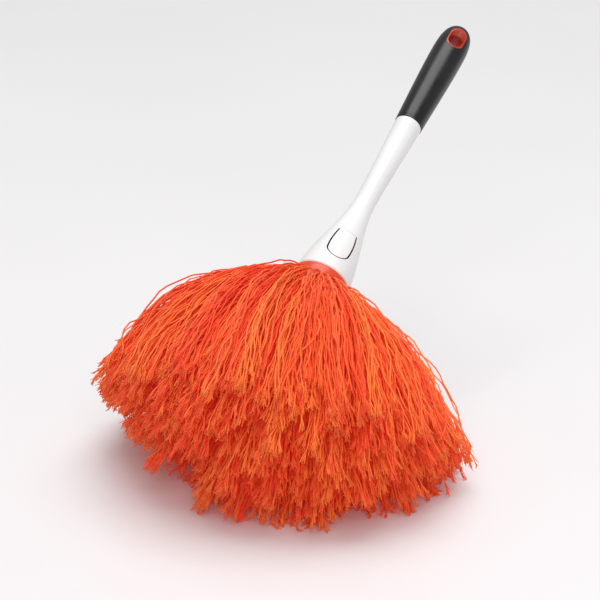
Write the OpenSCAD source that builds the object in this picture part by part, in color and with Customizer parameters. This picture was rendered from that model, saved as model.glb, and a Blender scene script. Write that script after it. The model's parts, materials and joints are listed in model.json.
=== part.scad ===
// Hand duster with a removable yarn head, standing on its yarn with the handle leaning back.
// Row axes: +Z up from the floor at z = 0, +Y is the way the handle leans, X is across.
// Handle axes: z = 0 at the centre of the socket mouth, +z towards the handle's tip,
// and the release tab faces -y. pose() carries handle axes into row axes.

/* [Pose] */
// lean of the handle from upright, degrees
lean = 62.6; // [40:0.1:80]
// turn of the release tab about the handle, degrees
roll = 31; // [0:1:90]
// height of the socket mouth above the floor
mouth_h = 122; // [110:1:190]

/* [Handle] */
// outside diameter of the bell at its mouth
bell_d = 44; // [38:0.5:52]
// length of the bell, mouth to the narrowest neck
bell_len = 84; // [70:1:100]
// narrowest diameter of the neck
neck_d = 17; // [14:0.5:22]
// neck diameter where it meets the grip
neck_end_d = 22.2; // [18:0.2:26]
// wall thickness of the bell
wall = 2.8; // [2:0.1:4]
// mouth to the lower edge of the grip
grip_start = 172.4; // [150:0.2:200]
// diameter of the stem inside the grip
stem_d = 16.8; // [12:0.2:18]
// mouth to the top of the stem
stem_top = 252; // [230:1:258]
// diameter of the hollow down the neck and stem
hollow_d = 10.4; // [6:0.2:12]

/* [Grip] */
// grip diameter at its lower edge
grip_low_d = 23; // [20:0.2:28]
// largest grip diameter
grip_d = 28; // [24:0.1:32]
// mouth to the thickest part of the grip
grip_wide_z = 258.2; // [245:0.2:265]
// mouth to the tip of the grip
tip_z = 289.5; // [284:0.5:300]

/* [Hanging hole] */
// mouth to the centre of the round hole
hole_z = 269; // [262:0.5:276]
// diameter of the round hole
hole_d = 11.2; // [9:0.1:13]
// width of the flared hole mouth
flare_w = 13.3; // [12:0.1:16]
// length of the flared hole mouth, along the handle
flare_len = 22.3; // [14:0.1:24]
// wall of the liner around the flare
liner_wall = 0.6; // [0.6:0.1:2]
// how far the liner stands proud of the grip
liner_proud = 0.25; // [0:0.05:0.6]
// depth of each flare
flare_depth = 6; // [3:0.5:9]

/* [Release tab] */
// mouth to the low end of the tab
tab_low = 12.2; // [10:0.2:16]
// width of the tab
tab_w = 16.9; // [14:0.2:20]
// width of the tab at the bending line
tab_top_w = 13.2; // [10:0.1:17]
// mouth to the widest part of the tab
tab_wide_z = 25; // [20:1:30]
// radius of the tab's round low end
tab_end_r = 8.7; // [8:0.1:12]
// thickness of the tab
tab_t = 1.6; // [1.2:0.1:2.4]
// width of the slot beside the tab
slot = 1.2; // [0.5:0.1:1.5]
// mouth to the bending line at the top of the tab
bend_z = 41.6; // [38:0.2:44]
// gap left at the bending line
bend_gap = 0.25; // [0.2:0.05:0.5]

/* [Head fitting] */
// clearance between the plug and the socket
plug_gap = 0.4; // [0.3:0.05:0.8]
// wall thickness of the plug
plug_wall = 2.2; // [1.6:0.1:3]
// mouth to the top of the plug
plug_top = 38; // [34:0.5:46]
// thickness of the plug's flange
flange_t = 2.8; // [2:0.1:4]
// diameter of the plug's flange
flange_d = 42.6; // [38:0.2:46]
// gap between the bell's rim and the head
rim_gap = 0.35; // [0.3:0.05:0.8]
// largest diameter of the collar
collar_d = 46; // [45:0.5:58]
// depth of the collar below the mouth
collar_depth = 8.6; // [5:0.2:10]
// thickness of the snap arm
arm_t = 1.5; // [1.2:0.1:2]
// width of the snap arm
arm_w = 8; // [6:0.5:10]
// mouth to where the snap arm joins the plug
arm_root_z = 31.4; // [28:0.2:34]
// diameter of the sewn base disc
base_d = 42.2; // [38:0.2:48]
// thickness of the sewn base disc
base_t = 1; // [0.6:0.1:2]
// height of each sewn tape
tape_h = 5.05; // [2:0.05:6]
// thickness of each sewn tape
tape_t = 1.2; // [0.8:0.1:2]
// diameter of the screw's shank
screw_d = 4; // [3:0.5:5]
// length of the screw's shank
screw_len = 16; // [10:1:20]
// diameter of the screw's head
screw_head_d = 7.6; // [6:0.2:9]
// thickness of the screw's head
screw_head_t = 2.4; // [1.5:0.1:3]
// diameter of the washer
washer_d = 10.8; // [8:0.2:12]
// thickness of the washer
washer_t = 0.8; // [0.5:0.1:1.5]

/* [Yarn] */
// length of the outer yarn, root to tip
yarn_len = 163; // [120:1:220]
// extra length of the inner yarn, as a share
yarn_extra = 0.2; // [0:0.01:0.3]
// extra length of the yarn on the upper side, as a share
upper_extra = 0.05; // [0:0.01:0.15]
// radius of the outer ring of roots
root_r = 20.4; // [16:0.2:24]
// spread of the outer yarn on the upper side, degrees
spread_up = 50; // [20:1:90]
// spread of the outer yarn at the sides, degrees
spread_side = 70; // [20:1:90]
// spread of the outer yarn on the lower side, degrees
spread_low = 82; // [20:1:100]
// share of the straight-down direction that the tips take
sag = 0.61; // [0:0.01:0.9]
// how late along the yarn the sag sets in
sag_power = 0.9; // [0.3:0.05:3]
// share of its length that yarn on the floor still runs outward
floor_run = 0.5; // [0:0.05:1]
// thickness of a layer at its roots
layer_t = 1.2; // [1:0.1:3]
// extra thickness of a layer at its tips
tip_puff = 0.4; // [0:0.1:4]
// height of the ridges that the yarn makes
ridge = 1.8; // [0:0.1:3]
// depth of the uneven hem, as a share of the length
hem = 0.045; // [0:0.005:0.1]
// share of the full spread that the core tuft takes
core_share = 0.11; // [0.05:0.01:0.2]
// radius of the core tuft at its roots
core_r = 4.4; // [3:0.1:6]

/* [Hidden] */

eps = 0.01;
round_fn = 96;
white = [0.94, 0.94, 0.93];
black = [0.07, 0.07, 0.08];
orange = [0.93, 0.25, 0.07];
yarn_orange = [0.97, 0.36, 0.09];
steel = [0.72, 0.72, 0.74];

// profile control points, as [radius, height]
bell_curve = [[bell_d / 2, 0], [bell_d / 2 - 1, 28], [neck_d / 2 + 1.2, 52], [neck_d / 2, bell_len]];
neck_curve = [
    [neck_d / 2, bell_len],
    [neck_d / 2 - 0.2, bell_len + 20],
    [neck_end_d / 2 - 0.8, grip_start - 28],
    [neck_end_d / 2, grip_start]
];
grip_curve = [
    [grip_low_d / 2, grip_start],
    [grip_low_d / 2 + 1, grip_start + 28],
    [grip_d / 2, grip_wide_z - 24],
    [grip_d / 2, grip_wide_z]
];
dome_curve = [
    [grip_d / 2, grip_wide_z],
    [grip_d / 2, tip_z - 9.5],
    [grip_d / 2 - 2.9, tip_z],
    [0, tip_z]
];
collar_curve = [
    [flange_d / 2, -rim_gap],
    [collar_d / 2 + 0.2, -rim_gap],
    [collar_d / 2 + 0.3, -rim_gap - 3],
    [collar_d / 2 - 0.4, -collar_depth + 0.4]
];
bell_share = 0.62;  // share of the bell curve that the socket runs up
socket_top = bez(bell_curve, bell_share)[1];

base_z = -rim_gap - flange_t - base_t;
root_z = base_z - tape_h;

layer_share = [1, 0.83, 0.66, 0.49, 0.33];
path_steps = 9;
columns = 60;

// row directions of the handle axis and of the side of the handle that faces up
axis_dir = [0, sin(lean), cos(lean)];
upper_dir = [0, -cos(lean), sin(lean)];
side_dir = [1, 0, 0];
mouth_y = -(front_y() + tip_y()) / 2;

// ---- curves and placing ----

function bez(p, v) =
    pow(1 - v, 3) * p[0] + 3 * v * pow(1 - v, 2) * p[1] + 3 * v * v * (1 - v) * p[2] + pow(v, 3) * p[3];

function bez_points(p, steps, v0 = 0, v1 = 1) =
    [for (i = [0:steps]) bez(p, v0 + (v1 - v0) * i / steps)];

function inset(points, by) = [for (p = points) [p[0] - by, p[1]]];

function reversed(list) = [for (i = [len(list) - 1:-1:0]) list[i]];

function unit(v) = v / norm(v);

function mean(points) = [for (k = [0:2]) sum([for (p = points) p[k]]) / len(points)];

function sum(list, i = 0) = i == len(list) ? 0 : list[i] + sum(list, i + 1);

// how far the row reaches towards -Y and +Y from below the socket mouth
function front_y() =
    min([
        for (share = layer_share, side = [-1, 1], i = [0:columns - 1])
            min([for (p = layer_strand(i, share, side)) p[1]])
    ]);

function tip_y() = max([for (p = bez_points(dome_curve, 24)) p[1] * sin(lean) + p[0] * cos(lean)]);

module pose() {
    translate([0, mouth_y, mouth_h])
        rotate([-lean, 0, 0])
            rotate([0, 0, roll])
                children();
}

// ---- handle ----

module bell_solid(by) {
    // the bell's outside drawn in by a distance, closed across its mouth and socket end
    rotate_extrude($fn = round_fn)
        polygon(concat(
            [[0, 0]],
            inset(bez_points(bell_curve, 14, 0, bell_share), by),
            [[0, socket_top]]
        ));
}

module bell_layer(outer, inner) {
    // the part of the bell's wall between two depths
    difference() {
        bell_solid(outer);
        bell_solid(inner);
    }
}

// half the tab's width at a height, widened all round by a distance
function tab_half(z, by) =
    tab_w / 2 + by - (tab_w - tab_top_w) / 2 * pow((z - tab_wide_z) / (bend_z - tab_wide_z), 2);

module tab_prism(by) {
    // the tab's outline carried through its side of the bell: bowed sides and a round low end
    heights = [tab_low - by:2.4:bend_z + 3];
    end_z = tab_low + tab_end_r;
    rotate([90, 0, 0])
        linear_extrude(height = bell_d)
            intersection() {
                polygon(concat(
                    [for (z = heights) [tab_half(z, by), z]],
                    reversed([for (z = heights) [-tab_half(z, by), z]])
                ));
                union() {
                    translate([0, end_z])
                        circle(r = tab_end_r + by, $fn = round_fn);
                    translate([-tab_w, end_z])
                        square([2 * tab_w, bend_z]);
                }
            }
}

module below(z) {
    translate([-bell_d, -bell_d, -bell_d])
        cube([2 * bell_d, 2 * bell_d, bell_d + z]);
}

module handle_shell() {
    lip = 0.8;
    color(white)
        pose()
            difference() {
                rotate_extrude($fn = round_fn)
                    polygon(concat(
                        [[0, 0], [bell_d / 2 - lip, 0]],
                        bez_points(bell_curve, 22, 0.012, 1),
                        bez_points(neck_curve, 12, 1 / 12, 1),
                        [
                            [stem_d / 2, grip_start],
                            [stem_d / 2, stem_top - 2],
                            [stem_d / 2 - 2, stem_top],
                            [0, stem_top]
                        ]
                    ));
                translate([0, 0, -eps])
                    bell_solid(wall);
                translate([0, 0, -1])
                    cylinder(d = bell_d - 2 * wall, h = 1 + eps, $fn = round_fn);
                cylinder(d = hollow_d, h = stem_top - 6, $fn = 48);
                tab_window();
            }
}

module tab_window() {
    intersection() {
        tab_prism(slot);
        below(bend_z + bend_gap);
    }
}

module release_tab() {
    color(white)
        pose()
            intersection() {
                bell_layer(0, tab_t);
                tab_prism(0);
                below(bend_z);
            }
}

module grip_solid(proud) {
    // the whole outside of the grip, round end included
    dome = bez_points(dome_curve, 18, 0.04, 0.94);
    rotate_extrude($fn = round_fn)
        polygon(concat(
            [[0, grip_start], [grip_low_d / 2 - 0.5 + proud, grip_start]],
            inset(bez_points(grip_curve, 16, 0.01, 1), -proud),
            [for (p = dome) [p[0] + proud * p[0] / (grip_d / 2), p[1]]],
            [[0, tip_z]]
        ));
}

module slot_prism(w, l, depth) {
    // a round-ended prism through the handle, centred on the hanging hole
    run = (l - w) / 2;
    rotate([90, 0, 0])
        translate([0, 0, -depth / 2]) {
            for (s = [-1, 1])
                translate([0, hole_z + s * run, 0])
                    cylinder(d = w, h = depth, $fn = 64);
            translate([-w / 2, hole_z - run, 0])
                cube([w, 2 * run, depth]);
        }
}

module flare() {
    // one hole mouth, wide at the surface and narrowing to the round hole
    run = (flare_len - flare_w) / 2;
    top = grip_d / 2 + 1;
    rotate([90, 0, 0])
        hull() {
            for (s = [-1, 1])
                translate([0, hole_z + s * run, top - 1])
                    cylinder(d = flare_w, h = 2, $fn = 32);
            translate([0, hole_z, top - flare_depth])
                cylinder(d = hole_d, h = 1, $fn = 32);
        }
}

module grip() {
    groove_z = grip_start + 3;
    color(black)
        pose()
            difference() {
                grip_solid(0);
                translate([0, 0, grip_start - 1])
                    cylinder(d = stem_d, h = stem_top - 2 - grip_start + 1, $fn = round_fn);
                translate([0, 0, stem_top - 2])
                    cylinder(d1 = stem_d, d2 = stem_d - 4, h = 2, $fn = round_fn);
                slot_prism(flare_w + 2 * liner_wall, flare_len + 2 * liner_wall, 2 * grip_d);
                rotate_extrude($fn = round_fn)
                    translate([grip_low_d / 2 + 0.25, groove_z])
                        circle(d = 0.7, $fn = 16);
            }
}

module hole_liner() {
    color(orange)
        pose()
            difference() {
                intersection() {
                    grip_solid(liner_proud);
                    slot_prism(flare_w + 2 * liner_wall, flare_len + 2 * liner_wall, 2 * grip_d);
                }
                rotate([90, 0, 0])
                    translate([0, hole_z, -grip_d])
                        cylinder(d = hole_d, h = 2 * grip_d, $fn = 64);
                flare();
                rotate([0, 0, 180])
                    flare();
            }
}

// ---- head fitting ----

module collar() {
    color(orange)
        pose()
            rotate_extrude($fn = round_fn)
                polygon(concat(
                    bez_points(collar_curve, 12),
                    [[collar_d / 2 - 0.8, -collar_depth], [flange_d / 2, -collar_depth]]
                ));
}

module head_plug() {
    boss_d = screw_d + 4.4;
    floor_z = 2.4;
    color(orange)
        pose()
            difference() {
                union() {
                    difference() {
                        intersection() {
                            bell_solid(wall + plug_gap);
                            below(plug_top);
                        }
                        intersection() {
                            bell_solid(wall + plug_gap + plug_wall);
                            translate([0, 0, floor_z + bell_d])
                                cube([2 * bell_d, 2 * bell_d, 2 * bell_d], center = true);
                        }
                    }
                    translate([0, 0, -rim_gap - flange_t])
                        cylinder(d = flange_d, h = flange_t, $fn = round_fn);
                    translate([0, 0, -rim_gap - eps])
                        cylinder(d = bell_d - 2 * (wall + plug_gap), h = rim_gap + 2 * eps, $fn = round_fn);
                    cylinder(d = boss_d, h = 15, $fn = 48);
                }
                translate([0, 0, base_z])
                    cylinder(d = screw_d, h = screw_len, $fn = 48);
                arm_window();
            }
}

module arm_window() {
    // room behind the release tab for it and the snap arm to move in
    half = tab_w / 2 + 2.4;
    low = tab_low - 2.4;
    translate([-half, -bell_d, low])
        cube([2 * half, bell_d - 9, arm_root_z - low]);
}

module snap_arm() {
    toe = tab_low + 0.2;
    color(orange)
        pose() {
            intersection() {
                bell_layer(wall + plug_gap, wall + plug_gap + arm_t);
                translate([-arm_w / 2, -bell_d, toe])
                    cube([arm_w, bell_d, arm_root_z - toe]);
            }
            intersection() {
                bell_layer(tab_t + 0.25, wall + plug_gap + 0.1);
                translate([-arm_w / 2, -bell_d, toe])
                    cube([arm_w, bell_d, 3]);
            }
        }
}

module base_disc() {
    color(white)
        pose()
            translate([0, 0, base_z])
                difference() {
                    cylinder(d = base_d, h = base_t, $fn = round_fn);
                    translate([0, 0, -1])
                        cylinder(d = screw_d, h = base_t + 2, $fn = 48);
                }
}

module clamp_washer() {
    color(steel)
        pose()
            translate([0, 0, base_z - washer_t])
                difference() {
                    cylinder(d = washer_d, h = washer_t, $fn = 64);
                    translate([0, 0, -1])
                        cylinder(d = screw_d, h = washer_t + 2, $fn = 48);
                }
}

module clamp_screw() {
    head_z = base_z - washer_t - screw_head_t;
    color(steel)
        pose()
            translate([0, 0, head_z])
                difference() {
                    union() {
                        cylinder(d = screw_head_d, h = screw_head_t, $fn = 64);
                        cylinder(d = screw_d, h = screw_head_t + washer_t + screw_len, $fn = 48);
                    }
                    for (a = [0, 90])
                        rotate([0, 0, a])
                            translate([-2.2, -0.5, -1])
                                cube([4.4, 1, 2.4]);
                }
}

// one sewn tape, directly above the roots of its yarn layer
module tape(layer) {
    r = root_r * layer_share[layer - 1];
    color(white)
        pose()
            translate([0, 0, root_z])
                difference() {
                    cylinder(r = r + tape_t / 2, h = tape_h, $fn = round_fn);
                    translate([0, 0, -1])
                        cylinder(r = r - tape_t / 2, h = tape_h + 2, $fn = round_fn);
                }
}

// ---- yarn ----

function spread(psi) =
    spread_side
    + (spread_up - spread_low) / 2 * cos(psi)
    + ((spread_up + spread_low) / 2 - spread_side) * pow(cos(psi), 2);

// how far a strand leans towards straight down: yarn deep in the head is held by the yarn
// around it, so it leans evenly all along and the outer layer leans most at its tips
function lean_down(s, share) =
    sag * (share * share * pow(s, sag_power) + (1 - share * share) / (sag_power + 1));

// one step along a strand: lean towards straight down, and stay above the floor
function step(p, start_dir, length, i, low, share) =
    let (
        w = lean_down((i + 0.5) / path_steps, share),
        d = unit((1 - w) * start_dir + w * [0, 0, -1]) * length / path_steps,
        run = p[2] <= low + eps ? floor_run : 1
    )
    [p[0] + run * d[0], p[1] + run * d[1], max(low, p[2] + d[2])];

function path(p, start_dir, length, low, share, i = 0) =
    i == path_steps
    ? [p]
    : concat([p], path(step(p, start_dir, length, i, low, share), start_dir, length, low, share, i + 1));

// a strand from a root radius, at a polar angle from straight out of the socket
function strand(i, r, polar, length, low, share) =
    let (
        psi = 360 * i / columns,
        out_dir = cos(psi) * upper_dir + sin(psi) * side_dir,
        root = [0, 0, mouth_h] + root_z * axis_dir + r * out_dir,
        start_dir = sin(polar) * out_dir - cos(polar) * axis_dir
    )
    path(root, start_dir, length, low, share);

// the length of a strand in a layer with this share of the full spread
function strand_len(i, share) =
    yarn_len
    * (1 + yarn_extra * (1 - share))
    * (1 + upper_extra * cos(360 * i / columns))
    * (1 - hem * ((i * 7) % 5) / 4);

// a strand of one layer; side is 1 for the layer's outer face and -1 for its inner face
function layer_strand(i, share, side) =
    let (
        lift = side * tip_puff / 2 + (side > 0 && i % 2 == 0 ? ridge : 0),
        polar = share * spread(360 * i / columns) + lift / yarn_len * 180 / PI
    )
    strand(
        i, root_r * share + side * layer_t / 2, polar,
        strand_len(i, share), side > 0 ? layer_t : 0, share
    );

function core_strand(i) =
    strand(i, core_r, core_share * spread(360 * i / columns), strand_len(i, core_share), 0, core_share);

module yarn(layer) {
    share = layer_share[layer - 1];
    rows = path_steps + 1;
    half = columns * rows;
    points = concat(
        [for (i = [0:columns - 1]) each layer_strand(i, share, 1)],
        [for (i = [0:columns - 1]) each layer_strand(i, share, -1)]
    );
    next = [for (i = [0:columns - 1]) (i + 1) % columns];
    faces = concat(
        [for (i = [0:columns - 1], j = [0:rows - 2]) each
            skin(i * rows + j, next[i] * rows + j)],
        [for (i = [0:columns - 1], j = [0:rows - 2]) each
            skin(half + next[i] * rows + j, half + i * rows + j)],
        [for (i = [0:columns - 1]) each
            strip(i * rows, next[i] * rows, half)],
        [for (i = [0:columns - 1]) each
            strip(next[i] * rows + rows - 1, i * rows + rows - 1, half)]
    );
    color(yarn_orange)
        translate([0, mouth_y, 0])
            polyhedron(points = points, faces = faces, convexity = 8);
}

// the solid tuft in the middle of the head
module yarn_core() {
    rows = path_steps + 1;
    sides = [for (i = [0:columns - 1]) each core_strand(i)];
    tips = [for (i = [0:columns - 1]) sides[i * rows + rows - 1]];
    root_mid = [0, 0, mouth_h] + root_z * axis_dir;
    tip_mid = mean(tips);
    points = concat(sides, [root_mid, tip_mid]);
    next = [for (i = [0:columns - 1]) (i + 1) % columns];
    faces = concat(
        [for (i = [0:columns - 1], j = [0:rows - 2]) each
            skin(i * rows + j, next[i] * rows + j)],
        [for (i = [0:columns - 1]) [i * rows, next[i] * rows, len(sides)]],
        [for (i = [0:columns - 1]) [next[i] * rows + rows - 1, i * rows + rows - 1, len(sides) + 1]]
    );
    color(yarn_orange)
        translate([0, mouth_y, 0])
            polyhedron(points = points, faces = faces, convexity = 4);
}

// two triangles between neighbouring strands, from point a to the one after it
function skin(a, b) = [[a, a + 1, b + 1], [a, b + 1, b]];

// two triangles that close a layer between its two faces
function strip(a, b, half) = [[a, b, half + b], [a, half + b, half + a]];

handle_shell();
grip();
hole_liner();
release_tab();
collar();
head_plug();
snap_arm();
base_disc();
clamp_washer();
clamp_screw();
tape(1);  // tape_1
tape(2);  // tape_2
tape(3);  // tape_3
tape(4);  // tape_4
tape(5);  // tape_5
yarn(1);  // yarn_1
yarn(2);  // yarn_2
yarn(3);  // yarn_3
yarn(4);  // yarn_4
yarn(5);  // yarn_5
yarn_core();
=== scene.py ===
"""Looks of the hand duster: loose yarn in place of the CAD layers, and moulded, rubber and metal finishes.

Lengths are in metres, in the CAD model's frame: +Z is up from the floor and +Y is the way the handle leans.
"""

import json
import math

import bpy
import numpy as np
from mathutils import Matrix, Vector


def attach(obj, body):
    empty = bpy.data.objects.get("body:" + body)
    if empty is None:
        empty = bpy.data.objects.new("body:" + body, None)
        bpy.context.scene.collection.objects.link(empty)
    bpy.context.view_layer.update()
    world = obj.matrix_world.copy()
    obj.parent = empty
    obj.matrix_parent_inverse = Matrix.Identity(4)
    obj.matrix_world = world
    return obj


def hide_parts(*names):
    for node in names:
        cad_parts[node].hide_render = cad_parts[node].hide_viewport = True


# ---- handle: from the hanging hole to the socket mouth, and the lean from upright ----

HOLE_FROM_MOUTH = 0.269
LEAN = math.radians(62.6)

# ---- yarn: where it is rooted, below and around the middle of the socket mouth ----

ROOT_DEPTH = 0.0092
ROOT_RADIUS = 0.0204

# ---- yarn: length of the outer ring, and the shares by which other places are longer ----

YARN_LENGTH = 0.163
YARN_EXTRA = 0.15
UPPER_EXTRA = 0.05
FULL_SIDE = math.radians(70)
FULL_SIDE_EXTRA = 0.08
LOCK_LENGTHS = (0.8, 1.04)
STRAND_LENGTHS = (0.93, 1.04)

# ---- yarn: angle between the head's axis and the outer ring, and how it hangs and meets the floor ----

SPREAD_UP = math.radians(50)
SPREAD_SIDE = math.radians(64.5)
SPREAD_TILT = math.radians(2.5)
SPREAD_LOW = math.radians(82)
SAG = 0.61
SAG_POWER = 0.9
FLOOR_RUN = 0.25

# ---- yarn: waves along a strand, as (amount, range of turns along the length), and smaller unevenness ----

LOCK_WAVES = (0.005, (0.6, 1.8))
STRAND_WAVES = (0.005, (1.0, 2.6))
STRAY_WAVES = (0.006, (1.5, 3.0))
SMALL_WAVES = (0.0013, (3.5, 8.0))
STRAY_SHARE = 0.015
CRINKLE = 0.0003
TIP_SCATTER = 0.0032
TIP_SCATTER_POWER = 6

# ---- yarn: locks, how wide each is in lock spacings, and how far its strands are drawn to its middle ----

STRANDS_IN_LOCK = 8
LOCK_WIDTH = 1.5
PULL = 0.35
TIP_PULL = 0.3

# ---- yarn: share of a ring's band that its locks stray outward, and that strands stray from their lock ----

LOCK_STRAY = 0.25
STRAND_STRAY = 0.35

# ---- yarn: thickness of strands, of the frayed fibres at their tips and of the fine hairs along them ----

STEPS = 26
FIBRE_STEPS = 3
STRAND_RADIUS = (0.00052, 0.00078)
FIBRE_RADIUS = (0.00036, 0.0005)
HAIR_RADIUS = (0.00016, 0.00026)
STRAND_TAPER = ([0, 0.1, 0.9, 1], [0.9, 1, 1, 0.7])
FIBRE_TAPER = ([0, 0.7, 1], [1, 0.9, 0.6])

# how many on a strand, where they start along it, the share of it that they run beside, and their reach
FIBRES = (4, (0.93, 0.97), 0.07, (0.0015, 0.0034))
HAIRS = (5, (0.05, 0.9), 0.02, (0.0008, 0.0022))

# ---- yarn: shades, from red at 0 to orange at 1 ----

LOCK_SHADES = (0.05, 0.6)
STRAND_SHADES = (0, 0.3)
FIBRE_SHADES = (-0.1, 0.15)
HAIR_SHADE = 0.15

# ring of yarn: CAD node, share of the full spread, strands, pieces, and the band that its locks stray over
FIRST_SEED = 100
RINGS = (
    ("yarn_1", 1.00, 3300, 6, 0.15),
    ("yarn_2", 0.83, 2000, 4, 0.13),
    ("yarn_3", 0.66, 1500, 3, 0.13),
    ("yarn_4", 0.49, 1000, 2, 0.13),
    ("yarn_5", 0.33, 550, 1, 0.13),
    ("yarn_core", 0.13, 400, 1, 0.14),
)

# ---- lights: offset from the socket mouth, side of the square softbox, and watts ----

TOP_LIGHT = ((0.1, 0.7, 5.0), 4.4, 208)
FRONT_LIGHT = ((1.1, -2.1, 1.8), 2.0, 29)
WORLD_STRENGTH = 0.42
FLOOR_HALF_WIDTH = 12.0

# ---- camera, and how far right of and above the picture's middle the socket mouth lies ----

VIEW_AZIMUTH = math.radians(27.3)
VIEW_ELEVATION = math.radians(22)
VIEW_DISTANCE = 1.5
LENS = 120
SENSOR_WIDTH = 36
MOUTH_RIGHT = 0.01586
MOUTH_ABOVE = 0.01429


def mouth_centre(record, axis):
    """The middle of the socket mouth, found from the hanging hole's place on the handle."""
    hole = next(m for m in record["mounts"] if m["name"] == "hanging_hole")
    return Vector(hole["pos_m"]) - HOLE_FROM_MOUTH * axis


# ---- node helpers ----


def new_material(name):
    material = bpy.data.materials.new(name)
    material.use_nodes = True
    shader = material.node_tree.nodes["Principled BSDF"]
    return material, material.node_tree, shader


def add_node(tree, kind, **settings):
    node = tree.nodes.new(kind)
    for key, value in settings.items():
        setattr(node, key, value)
    return node


def noise(tree, scale, detail):
    """A noise texture in object space, which is the CAD model's frame in metres."""
    coords = add_node(tree, "ShaderNodeTexCoord")
    texture = add_node(tree, "ShaderNodeTexNoise")
    texture.inputs["Scale"].default_value = scale
    texture.inputs["Detail"].default_value = detail
    texture.inputs["Roughness"].default_value = 0.5
    tree.links.new(coords.outputs["Object"], texture.inputs["Vector"])
    return texture.outputs["Fac"]


def ramp(tree, source, stops):
    """Colours along a factor; stops are (place, colour)."""
    node = add_node(tree, "ShaderNodeValToRGB")
    elements = node.color_ramp.elements
    while len(elements) < len(stops):
        elements.new(0.5)
    for element, (place, colour) in zip(elements, stops):
        element.position = place
        element.color = (*colour, 1.0)
    tree.links.new(source, node.inputs["Fac"])
    return node.outputs["Color"]


def spread_value(tree, source, low, high):
    """A factor from 0 to 1 carried over to the range from low to high."""
    node = add_node(tree, "ShaderNodeMapRange")
    node.inputs["To Min"].default_value = low
    node.inputs["To Max"].default_value = high
    tree.links.new(source, node.inputs["Value"])
    return node.outputs["Result"]


def bump(tree, shader, height, distance, strength=1.0):
    node = add_node(tree, "ShaderNodeBump")
    node.inputs["Distance"].default_value = distance
    node.inputs["Strength"].default_value = strength
    tree.links.new(height, node.inputs["Height"])
    tree.links.new(node.outputs["Normal"], shader.inputs["Normal"])


# ---- materials ----


def moulded_plastic(name, dark, light, rough, coat, subsurface=0.0):
    """Glossy moulded plastic: faint flow variation, uneven gloss and a fine skin."""
    material, tree, shader = new_material(name)
    colour = ramp(tree, noise(tree, 22, 2), [(0.3, dark), (0.7, light)])
    gloss = spread_value(tree, noise(tree, 140, 4), rough - 0.05, rough + 0.07)
    tree.links.new(colour, shader.inputs["Base Color"])
    tree.links.new(gloss, shader.inputs["Roughness"])
    bump(tree, shader, noise(tree, 900, 3), 0.00004, 0.5)
    shader.inputs["IOR"].default_value = 1.49
    shader.inputs["Coat Weight"].default_value = coat
    shader.inputs["Coat Roughness"].default_value = 0.2
    shader.inputs["Subsurface Weight"].default_value = subsurface
    shader.inputs["Subsurface Radius"].default_value = (1.0, 0.35, 0.15)
    shader.inputs["Subsurface Scale"].default_value = 0.004
    return material


def soft_rubber(name):
    """Black soft-touch grip: satin, with a fine grain and slightly rubbed patches."""
    material, tree, shader = new_material(name)
    wear = noise(tree, 35, 4)
    colour = ramp(tree, wear, [(0.35, (0.004, 0.004, 0.005)), (0.7, (0.008, 0.008, 0.009))])
    tree.links.new(colour, shader.inputs["Base Color"])
    tree.links.new(spread_value(tree, wear, 0.26, 0.35), shader.inputs["Roughness"])
    bump(tree, shader, noise(tree, 2600, 2), 0.00006, 0.6)
    shader.inputs["Specular IOR Level"].default_value = 0.5
    return material


def steel(name):
    """Plain zinc-plated steel, with a fine grain and small changes in gloss."""
    material, tree, shader = new_material(name)
    colour = ramp(tree, noise(tree, 400, 5), [(0.3, (0.42, 0.42, 0.44)), (0.7, (0.62, 0.62, 0.64))])
    gloss = spread_value(tree, noise(tree, 1200, 3), 0.22, 0.42)
    tree.links.new(colour, shader.inputs["Base Color"])
    tree.links.new(gloss, shader.inputs["Roughness"])
    bump(tree, shader, noise(tree, 3000, 2), 0.00003, 0.4)
    shader.inputs["Metallic"].default_value = 1.0
    return material


def woven(name, dark, light):
    """Woven tape or disc: crossed threads."""
    material, tree, shader = new_material(name)
    coords = add_node(tree, "ShaderNodeTexCoord")
    weave = add_node(tree, "ShaderNodeMath", operation="MULTIPLY")
    for number, direction in enumerate(("X", "Y")):
        wave = add_node(tree, "ShaderNodeTexWave", bands_direction=direction)
        wave.inputs["Scale"].default_value = 260
        wave.inputs["Distortion"].default_value = 0.6
        tree.links.new(coords.outputs["Object"], wave.inputs["Vector"])
        tree.links.new(wave.outputs["Fac"], weave.inputs[number])
    colour = ramp(tree, weave.outputs["Value"], [(0.1, dark), (0.8, light)])
    tree.links.new(colour, shader.inputs["Base Color"])
    bump(tree, shader, weave.outputs["Value"], 0.0003)
    shader.inputs["Roughness"].default_value = 0.85
    shader.inputs["Sheen Weight"].default_value = 0.3
    return material


def yarn_material(name):
    """Dyed microfibre yarn: colour changes from strand to strand and along each strand, with a soft sheen.

    The faint red emission is a painted glow, which stands in for light that passes through the fibres and for the
    bright dye.
    """
    material, tree, shader = new_material(name)
    shade = add_node(tree, "ShaderNodeAttribute", attribute_name="shade")
    mixed = add_node(tree, "ShaderNodeMath", operation="MULTIPLY_ADD")
    mixed.inputs[1].default_value = 0.35
    tree.links.new(noise(tree, 180, 3), mixed.inputs[0])
    tree.links.new(shade.outputs["Fac"], mixed.inputs[2])
    dyes = [
        (0.12, (0.96, 0.040, 0.018)),
        (0.5, (0.97, 0.108, 0.021)),
        (0.95, (0.96, 0.220, 0.030)),
    ]
    tree.links.new(ramp(tree, mixed.outputs["Value"], dyes), shader.inputs["Base Color"])
    bump(tree, shader, noise(tree, 1500, 2), 0.0002, 0.6)
    shader.inputs["Roughness"].default_value = 0.62
    shader.inputs["Sheen Weight"].default_value = 0.3
    shader.inputs["Sheen Roughness"].default_value = 0.4
    shader.inputs["Sheen Tint"].default_value = (1.0, 0.5, 0.25, 1.0)
    # painted glow: a faint red emission, so that the yarn shines a little red of its own under any light
    shader.inputs["Emission Color"].default_value = (1.0, 0.035, 0.02, 1.0)
    shader.inputs["Emission Strength"].default_value = 0.09
    return material


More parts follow.
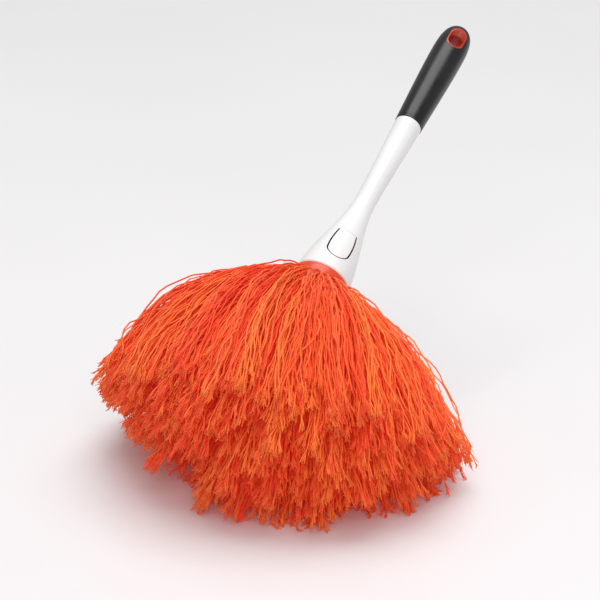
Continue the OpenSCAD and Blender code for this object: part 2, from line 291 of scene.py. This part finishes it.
def floor_material(name):
    """Pale matt studio floor with a slight reflection."""
    material, tree, shader = new_material(name)
    colour = ramp(tree, noise(tree, 3, 2), [(0.3, (0.80, 0.79, 0.80)), (0.7, (0.82, 0.81, 0.82))])
    tree.links.new(colour, shader.inputs["Base Color"])
    shader.inputs["Roughness"].default_value = 0.38
    return material


# ---- yarn: the lines that strands follow ----
#
# psi is the angle round the head, from its upper side towards +X.
# s goes along a strand, from 0 at its root to 1 at its tip.


def spread_at(psi):
    """Angle between the head's axis and the outer yarn, at each place round the head."""
    c = np.cos(psi)
    mean = (SPREAD_UP + SPREAD_LOW) / 2
    even = SPREAD_SIDE + (SPREAD_UP - SPREAD_LOW) / 2 * c + (mean - SPREAD_SIDE) * c * c
    return even + SPREAD_TILT * np.sin(psi)


def unit(v):
    return v / np.maximum(np.linalg.norm(v, axis=-1, keepdims=True), 1e-9)


def lean_down(s, share):
    """How far strands lean towards straight down: evenly deep in the head, most at the tips outside."""
    return SAG * (share**2 * s**SAG_POWER + (1 - share**2) / (SAG_POWER + 1))


def centre_lines(mouth, psi, share, length):
    """The lines that strands follow: out of the head at an angle, sagging, and then along the floor."""
    axis = np.array([0, math.sin(LEAN), math.cos(LEAN)])
    upper = np.array([0, -math.cos(LEAN), math.sin(LEAN)])
    across = np.array([1.0, 0, 0])
    down = np.array([0, 0, -1.0])
    out = np.cos(psi)[:, None] * upper + np.sin(psi)[:, None] * across
    point = np.array(mouth) - ROOT_DEPTH * axis + (ROOT_RADIUS * share)[:, None] * out
    polar = (share * spread_at(psi))[:, None]
    start = np.sin(polar) * out - np.cos(polar) * axis
    lines = [point]
    for i in range(STEPS):
        w = lean_down((i + 0.5) / STEPS, share)[:, None]
        step = unit((1 - w) * start + w * down) * (length / STEPS)[:, None]
        run = np.where(point[:, 2] <= STRAND_RADIUS[0], FLOOR_RUN, 1.0)
        step[:, :2] *= run[:, None]
        point = point + step
        point[:, 2] = np.maximum(point[:, 2], 0)
        lines.append(point)
    return np.stack(lines, axis=1)


def sideways(lines):
    """Two directions square to each line at each of its points."""
    tangent = unit(np.gradient(lines, axis=1))
    helper = np.array([0.31, 0.17, 0.93])
    first = unit(np.cross(tangent, helper))
    return first, np.cross(tangent, first)


def add_waves(lines, rng, amount, cycles):
    """Bends each line gently from side to side, more towards its tip."""
    count = len(lines)
    s = np.linspace(0, 1, lines.shape[1])[None, :]
    moved = lines.copy()
    for direction in sideways(lines):
        turns = rng.uniform(*cycles, (count, 1))
        phase = rng.uniform(0, 2 * math.pi, (count, 1))
        size = amount * rng.uniform(0.4, 1.0, (count, 1))
        swing = size * s * np.sin(2 * math.pi * turns * s + phase)
        moved += swing[..., None] * direction
    return moved


def add_crinkle(lines, rng, amount):
    """Small uneven kinks, as in yarn that was twisted and let go; the roots stay put."""
    count, rows, _ = lines.shape
    hold = np.clip(np.linspace(0, 6, rows), 0, 1)[None, :]
    moved = lines.copy()
    for direction in sideways(lines):
        kink = rng.normal(0, amount, (count, rows)) * hold
        moved += kink[..., None] * direction
    return moved


def ring_of_locks(share, band, locks, rng):
    """Each lock's place round the head, its share of the full spread, and its length."""
    psi = (np.arange(locks) + rng.uniform(-0.5, 0.5, locks)) * 2 * math.pi / locks
    lock_share = share + rng.uniform(-band, band * LOCK_STRAY, locks)
    length = YARN_LENGTH * (1 + YARN_EXTRA * (1 - share)) * rng.uniform(*LOCK_LENGTHS, locks)
    length = length * (1 + UPPER_EXTRA * np.cos(psi))
    fuller = FULL_SIDE_EXTRA * 4 * share * (1 - share)
    length = length * (1 + fuller * np.cos(psi - FULL_SIDE))
    return psi, lock_share, length


def gather(lines, guide, s):
    """Draws strands towards the guide line of their lock; the roots stay put."""
    past_root = np.clip(s / 0.3, 0, 1)
    near_tip = np.clip((s - 0.6) / 0.3, 0, 1)
    return lines + (PULL + TIP_PULL * near_tip) * past_root * (guide - lines)


def ring_of_strands(mouth, share, band, count, rng):
    """The centre lines of one ring's strands, gathered in locks, and a shade for each."""
    locks = count // STRANDS_IN_LOCK
    own = np.repeat(np.arange(locks), STRANDS_IN_LOCK)
    total = len(own)
    s = np.linspace(0, 1, STEPS + 1)[None, :, None]

    lock_psi, lock_share, lock_length = ring_of_locks(share, band, locks, rng)
    guide = add_waves(centre_lines(mouth, lock_psi, lock_share, lock_length), rng, *LOCK_WAVES)

    psi = lock_psi[own] + rng.normal(0, LOCK_WIDTH * 2 * math.pi / locks, total)
    strand_share = lock_share[own] + rng.normal(0, band * STRAND_STRAY, total)
    length = lock_length[own] * rng.uniform(*STRAND_LENGTHS, total)
    lines = centre_lines(mouth, psi, strand_share, length)
    lines = add_waves(lines, rng, *STRAND_WAVES)
    lines = gather(lines, guide[own], s)

    stray = rng.uniform(0, 1, total) < STRAY_SHARE
    lines[stray] = add_waves(lines[stray], rng, *STRAY_WAVES)
    lines = add_waves(lines, rng, *SMALL_WAVES)
    lines = add_crinkle(lines, rng, CRINKLE)
    scatter = rng.normal(0, TIP_SCATTER, (total, 1, 3))
    shade = rng.uniform(*LOCK_SHADES, locks)[own] + rng.uniform(*STRAND_SHADES, total)
    return lines + scatter * s**TIP_SCATTER_POWER, shade


def side_fibres(lines, rng, each, start, run, reach):
    """Short loose fibres: each leaves its strand somewhere along it and stays near it for a short run."""
    count = len(lines)
    begin = rng.uniform(*start, (count, each, 1))
    u = np.linspace(0, 1, FIBRE_STEPS + 1)[None, None, :]
    places = np.minimum(begin + run * u, 1.0) * STEPS
    low = np.clip(places.astype(int), 0, STEPS - 1)
    part = (places - low)[..., None]
    index = np.arange(count)[:, None, None]
    along = lines[index, low] * (1 - part) + lines[index, low + 1] * part
    fan = unit(rng.normal(0, 1, (count, each, 1, 3)))
    curl = unit(rng.normal(0, 1, (count, each, 1, 3)))
    out = rng.uniform(*reach, (count, each, 1, 1))
    u = u[..., None]
    fibres = along + out * (u * fan + 0.25 * np.sin(u * 4.0) * curl)
    return fibres.reshape(count * each, FIBRE_STEPS + 1, 3)


# ---- yarn: meshes ----


def tubes(lines, rng, radii, taper):
    """Three-sided tubes along lines, closed at both ends: points, quads and triangles."""
    count, rows, _ = lines.shape
    lines = lines.copy()
    lines[..., 2] = np.maximum(lines[..., 2], radii[0])
    first, second = sideways(lines)
    radius = rng.uniform(*radii, (count, 1, 1))
    width = radius * np.interp(np.linspace(0, 1, rows), *taper)[None, :, None]
    corners = [
        lines + width * (math.cos(a) * first + math.sin(a) * second)
        for a in (0, 2 * math.pi / 3, 4 * math.pi / 3)
    ]
    points = np.stack(corners, axis=2).reshape(-1, 3)
    points[:, 2] = np.maximum(points[:, 2], 0)
    root = (np.arange(count) * rows * 3)[:, None, None]
    row = (np.arange(rows - 1) * 3)[None, :, None]
    side = np.arange(3)[None, None, :]
    a = root + row + side
    b = root + row + (side + 1) % 3
    quads = np.stack([a, b, b + 3, a + 3], axis=-1).reshape(-1, 4)
    root = root[:, 0, 0]
    tip = root + (rows - 1) * 3
    root_caps = np.stack([root + 2, root + 1, root], axis=-1)
    tip_caps = np.stack([tip, tip + 1, tip + 2], axis=-1)
    return points, quads, np.concatenate([root_caps, tip_caps])


def join_tubes(sets):
    """Several sets of tubes as one set of points, quads and triangles."""
    offsets = np.cumsum([0] + [len(points) for points, _, _ in sets[:-1]])
    points = np.concatenate([points for points, _, _ in sets])
    quads = np.concatenate([quads + offset for (_, quads, _), offset in zip(sets, offsets)])
    caps = np.concatenate([caps + offset for (_, _, caps), offset in zip(sets, offsets)])
    return points, quads, caps


def build_mesh(name, sets, shades, material):
    """One mesh object from several sets of tubes, with a shade for each point."""
    points, quads, caps = join_tubes(sets)
    corners = np.concatenate([quads.ravel(), caps.ravel()])
    starts = np.concatenate([np.arange(len(quads)) * 4, quads.size + np.arange(len(caps)) * 3])
    mesh = bpy.data.meshes.new(name)
    mesh.vertices.add(len(points))
    mesh.vertices.foreach_set("co", points.astype(np.float32).ravel())
    mesh.loops.add(len(corners))
    mesh.loops.foreach_set("vertex_index", corners.astype(np.int32))
    mesh.polygons.add(len(starts))
    mesh.polygons.foreach_set("loop_start", starts.astype(np.int32))
    mesh.update(calc_edges=True)
    mesh.polygons.foreach_set("use_smooth", np.ones(len(starts), dtype=bool))
    attribute = mesh.attributes.new("shade", "FLOAT", "POINT")
    attribute.data.foreach_set("value", np.concatenate(shades).astype(np.float32))
    mesh.materials.append(material)
    piece = bpy.data.objects.new(name, mesh)
    bpy.context.scene.collection.objects.link(piece)
    return piece


def fluffy_tubes(strands, shade, rng):
    """Tubes for strands with frayed tips and fine hairs, and a shade for each of their points."""
    tufts = side_fibres(strands, rng, *FIBRES)
    hairs = side_fibres(strands, rng, *HAIRS)
    sets = [
        tubes(strands, rng, STRAND_RADIUS, STRAND_TAPER),
        tubes(tufts, rng, FIBRE_RADIUS, FIBRE_TAPER),
        tubes(hairs, rng, HAIR_RADIUS, FIBRE_TAPER),
    ]
    tuft_shade = np.repeat(shade, FIBRES[0]) + rng.uniform(*FIBRE_SHADES, len(tufts))
    hair_shade = np.repeat(shade, HAIRS[0]) + HAIR_SHADE
    shades = [
        np.repeat(shade, (STEPS + 1) * 3),
        np.repeat(tuft_shade, (FIBRE_STEPS + 1) * 3),
        np.repeat(hair_shade, (FIBRE_STEPS + 1) * 3),
    ]
    return sets, shades


def make_yarn(mouth, material):
    """Every ring of yarn as loose strands with frayed ends, in place of its CAD layer."""
    for number, (node, share, count, pieces, band) in enumerate(RINGS):
        rng = np.random.default_rng(FIRST_SEED + number)
        lines, shade = ring_of_strands(mouth, share, band, count, rng)
        order = rng.permutation(len(lines))
        for k, chosen in enumerate(np.array_split(order, pieces)):
            sets, shades = fluffy_tubes(lines[chosen], shade[chosen], rng)
            piece = build_mesh(f"{node}_strands_{k + 1}", sets, shades, material)
            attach(piece, "head")
            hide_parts(node)


# ---- stage, lights and camera ----


def make_floor():
    mesh = bpy.data.meshes.new("floor")
    half = FLOOR_HALF_WIDTH
    corners = [(-half, -half, 0), (half, -half, 0), (half, half, 0), (-half, half, 0)]
    mesh.from_pydata(corners, [], [(0, 1, 2, 3)])
    mesh.materials.append(floor_material("studio_floor"))
    floor = bpy.data.objects.new("floor", mesh)
    bpy.context.scene.collection.objects.link(floor)


def area_light(name, target, offset, side, power):
    """A square softbox at an offset from the target, facing it."""
    data = bpy.data.lights.new(name, "AREA")
    data.shape = "SQUARE"
    data.size = side
    data.energy = power
    light = bpy.data.objects.new(name, data)
    light.location = target + Vector(offset)
    light.rotation_euler = (-Vector(offset)).to_track_quat("-Z", "Y").to_euler()
    bpy.context.scene.collection.objects.link(light)


def make_lights(mouth):
    area_light("top_softbox", mouth, *TOP_LIGHT)
    area_light("front_softbox", mouth, *FRONT_LIGHT)
    world = bpy.data.worlds.new("studio")
    world.use_nodes = True
    background = world.node_tree.nodes["Background"]
    background.inputs["Color"].default_value = (1.0, 1.0, 1.0, 1.0)
    background.inputs["Strength"].default_value = WORLD_STRENGTH
    bpy.context.scene.world = world


def make_camera(mouth):
    back = Vector(
        (
            math.sin(VIEW_AZIMUTH) * math.cos(VIEW_ELEVATION),
            -math.cos(VIEW_AZIMUTH) * math.cos(VIEW_ELEVATION),
            math.sin(VIEW_ELEVATION),
        )
    )
    right = Vector((math.cos(VIEW_AZIMUTH), math.sin(VIEW_AZIMUTH), 0))
    up = back.cross(right)
    data = bpy.data.cameras.new("camera")
    data.lens = LENS
    data.sensor_width = SENSOR_WIDTH
    camera = bpy.data.objects.new("camera", data)
    place = mouth + VIEW_DISTANCE * back - MOUTH_RIGHT * right - MOUTH_ABOVE * up
    camera.matrix_world = Matrix.Translation(place) @ Matrix((right, up, back)).transposed().to_4x4()
    bpy.context.scene.collection.objects.link(camera)
    bpy.context.scene.camera = camera


# ---- finishes of the CAD pieces ----


def paint_frame(nodes):
    """Gives each CAD node that stays in view its finish."""
    shell = moulded_plastic("shell_white", (0.80, 0.80, 0.80), (0.84, 0.84, 0.84), 0.24, 0.25)
    orange = moulded_plastic("moulded_orange", (0.64, 0.050, 0.012), (0.74, 0.070, 0.016), 0.3, 0.2, 0.15)
    # painted shade: the liner is a darker copy of the orange moulding, for the shade inside the hanging hole
    shaded_liner = moulded_plastic("liner_orange", (0.42, 0.030, 0.012), (0.50, 0.042, 0.016), 0.36, 0.1)
    # painted shade: a darker copy of the orange moulding for the plug and snap arm, which sit in shadow inside the
    # head
    shaded_orange = moulded_plastic("orange_painted_shade", (0.26, 0.018, 0.006), (0.32, 0.026, 0.008), 0.4, 0.0)
    cloth = woven("tape_cloth", (0.5, 0.06, 0.01), (0.85, 0.16, 0.04))
    metal = steel("screw_steel")
    finishes = {
        "handle_shell": shell,
        "release_tab": shell,
        "grip": soft_rubber("grip_black"),
        "hole_liner": shaded_liner,
        "collar": orange,
        "head_plug": shaded_orange,
        "snap_arm": shaded_orange,
        "base_disc": cloth,
        "clamp_washer": metal,
        "clamp_screw": metal,
        **{f"tape_{i}": cloth for i in range(1, 6)},
    }
    for name, material in finishes.items():
        nodes[name].data.materials.clear()
        nodes[name].data.materials.append(material)


# ---- the scene ----

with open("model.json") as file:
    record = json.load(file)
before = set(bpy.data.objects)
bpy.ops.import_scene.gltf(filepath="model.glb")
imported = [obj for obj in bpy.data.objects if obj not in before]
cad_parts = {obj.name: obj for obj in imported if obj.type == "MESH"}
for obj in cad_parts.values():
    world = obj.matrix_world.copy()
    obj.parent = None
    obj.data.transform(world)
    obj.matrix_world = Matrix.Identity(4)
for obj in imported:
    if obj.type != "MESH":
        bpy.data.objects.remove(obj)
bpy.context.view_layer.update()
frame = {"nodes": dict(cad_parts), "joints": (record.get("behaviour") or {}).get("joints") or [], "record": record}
joint = next(j for j in frame["joints"] if j["name"] == "head_release")
mouth = mouth_centre(frame["record"], Vector(joint["axis"]))

paint_frame(frame["nodes"])
make_yarn(mouth, yarn_material("yarn_orange"))
make_floor()
make_lights(mouth)
make_camera(mouth)
bpy.context.scene.view_settings.view_transform = "Standard"
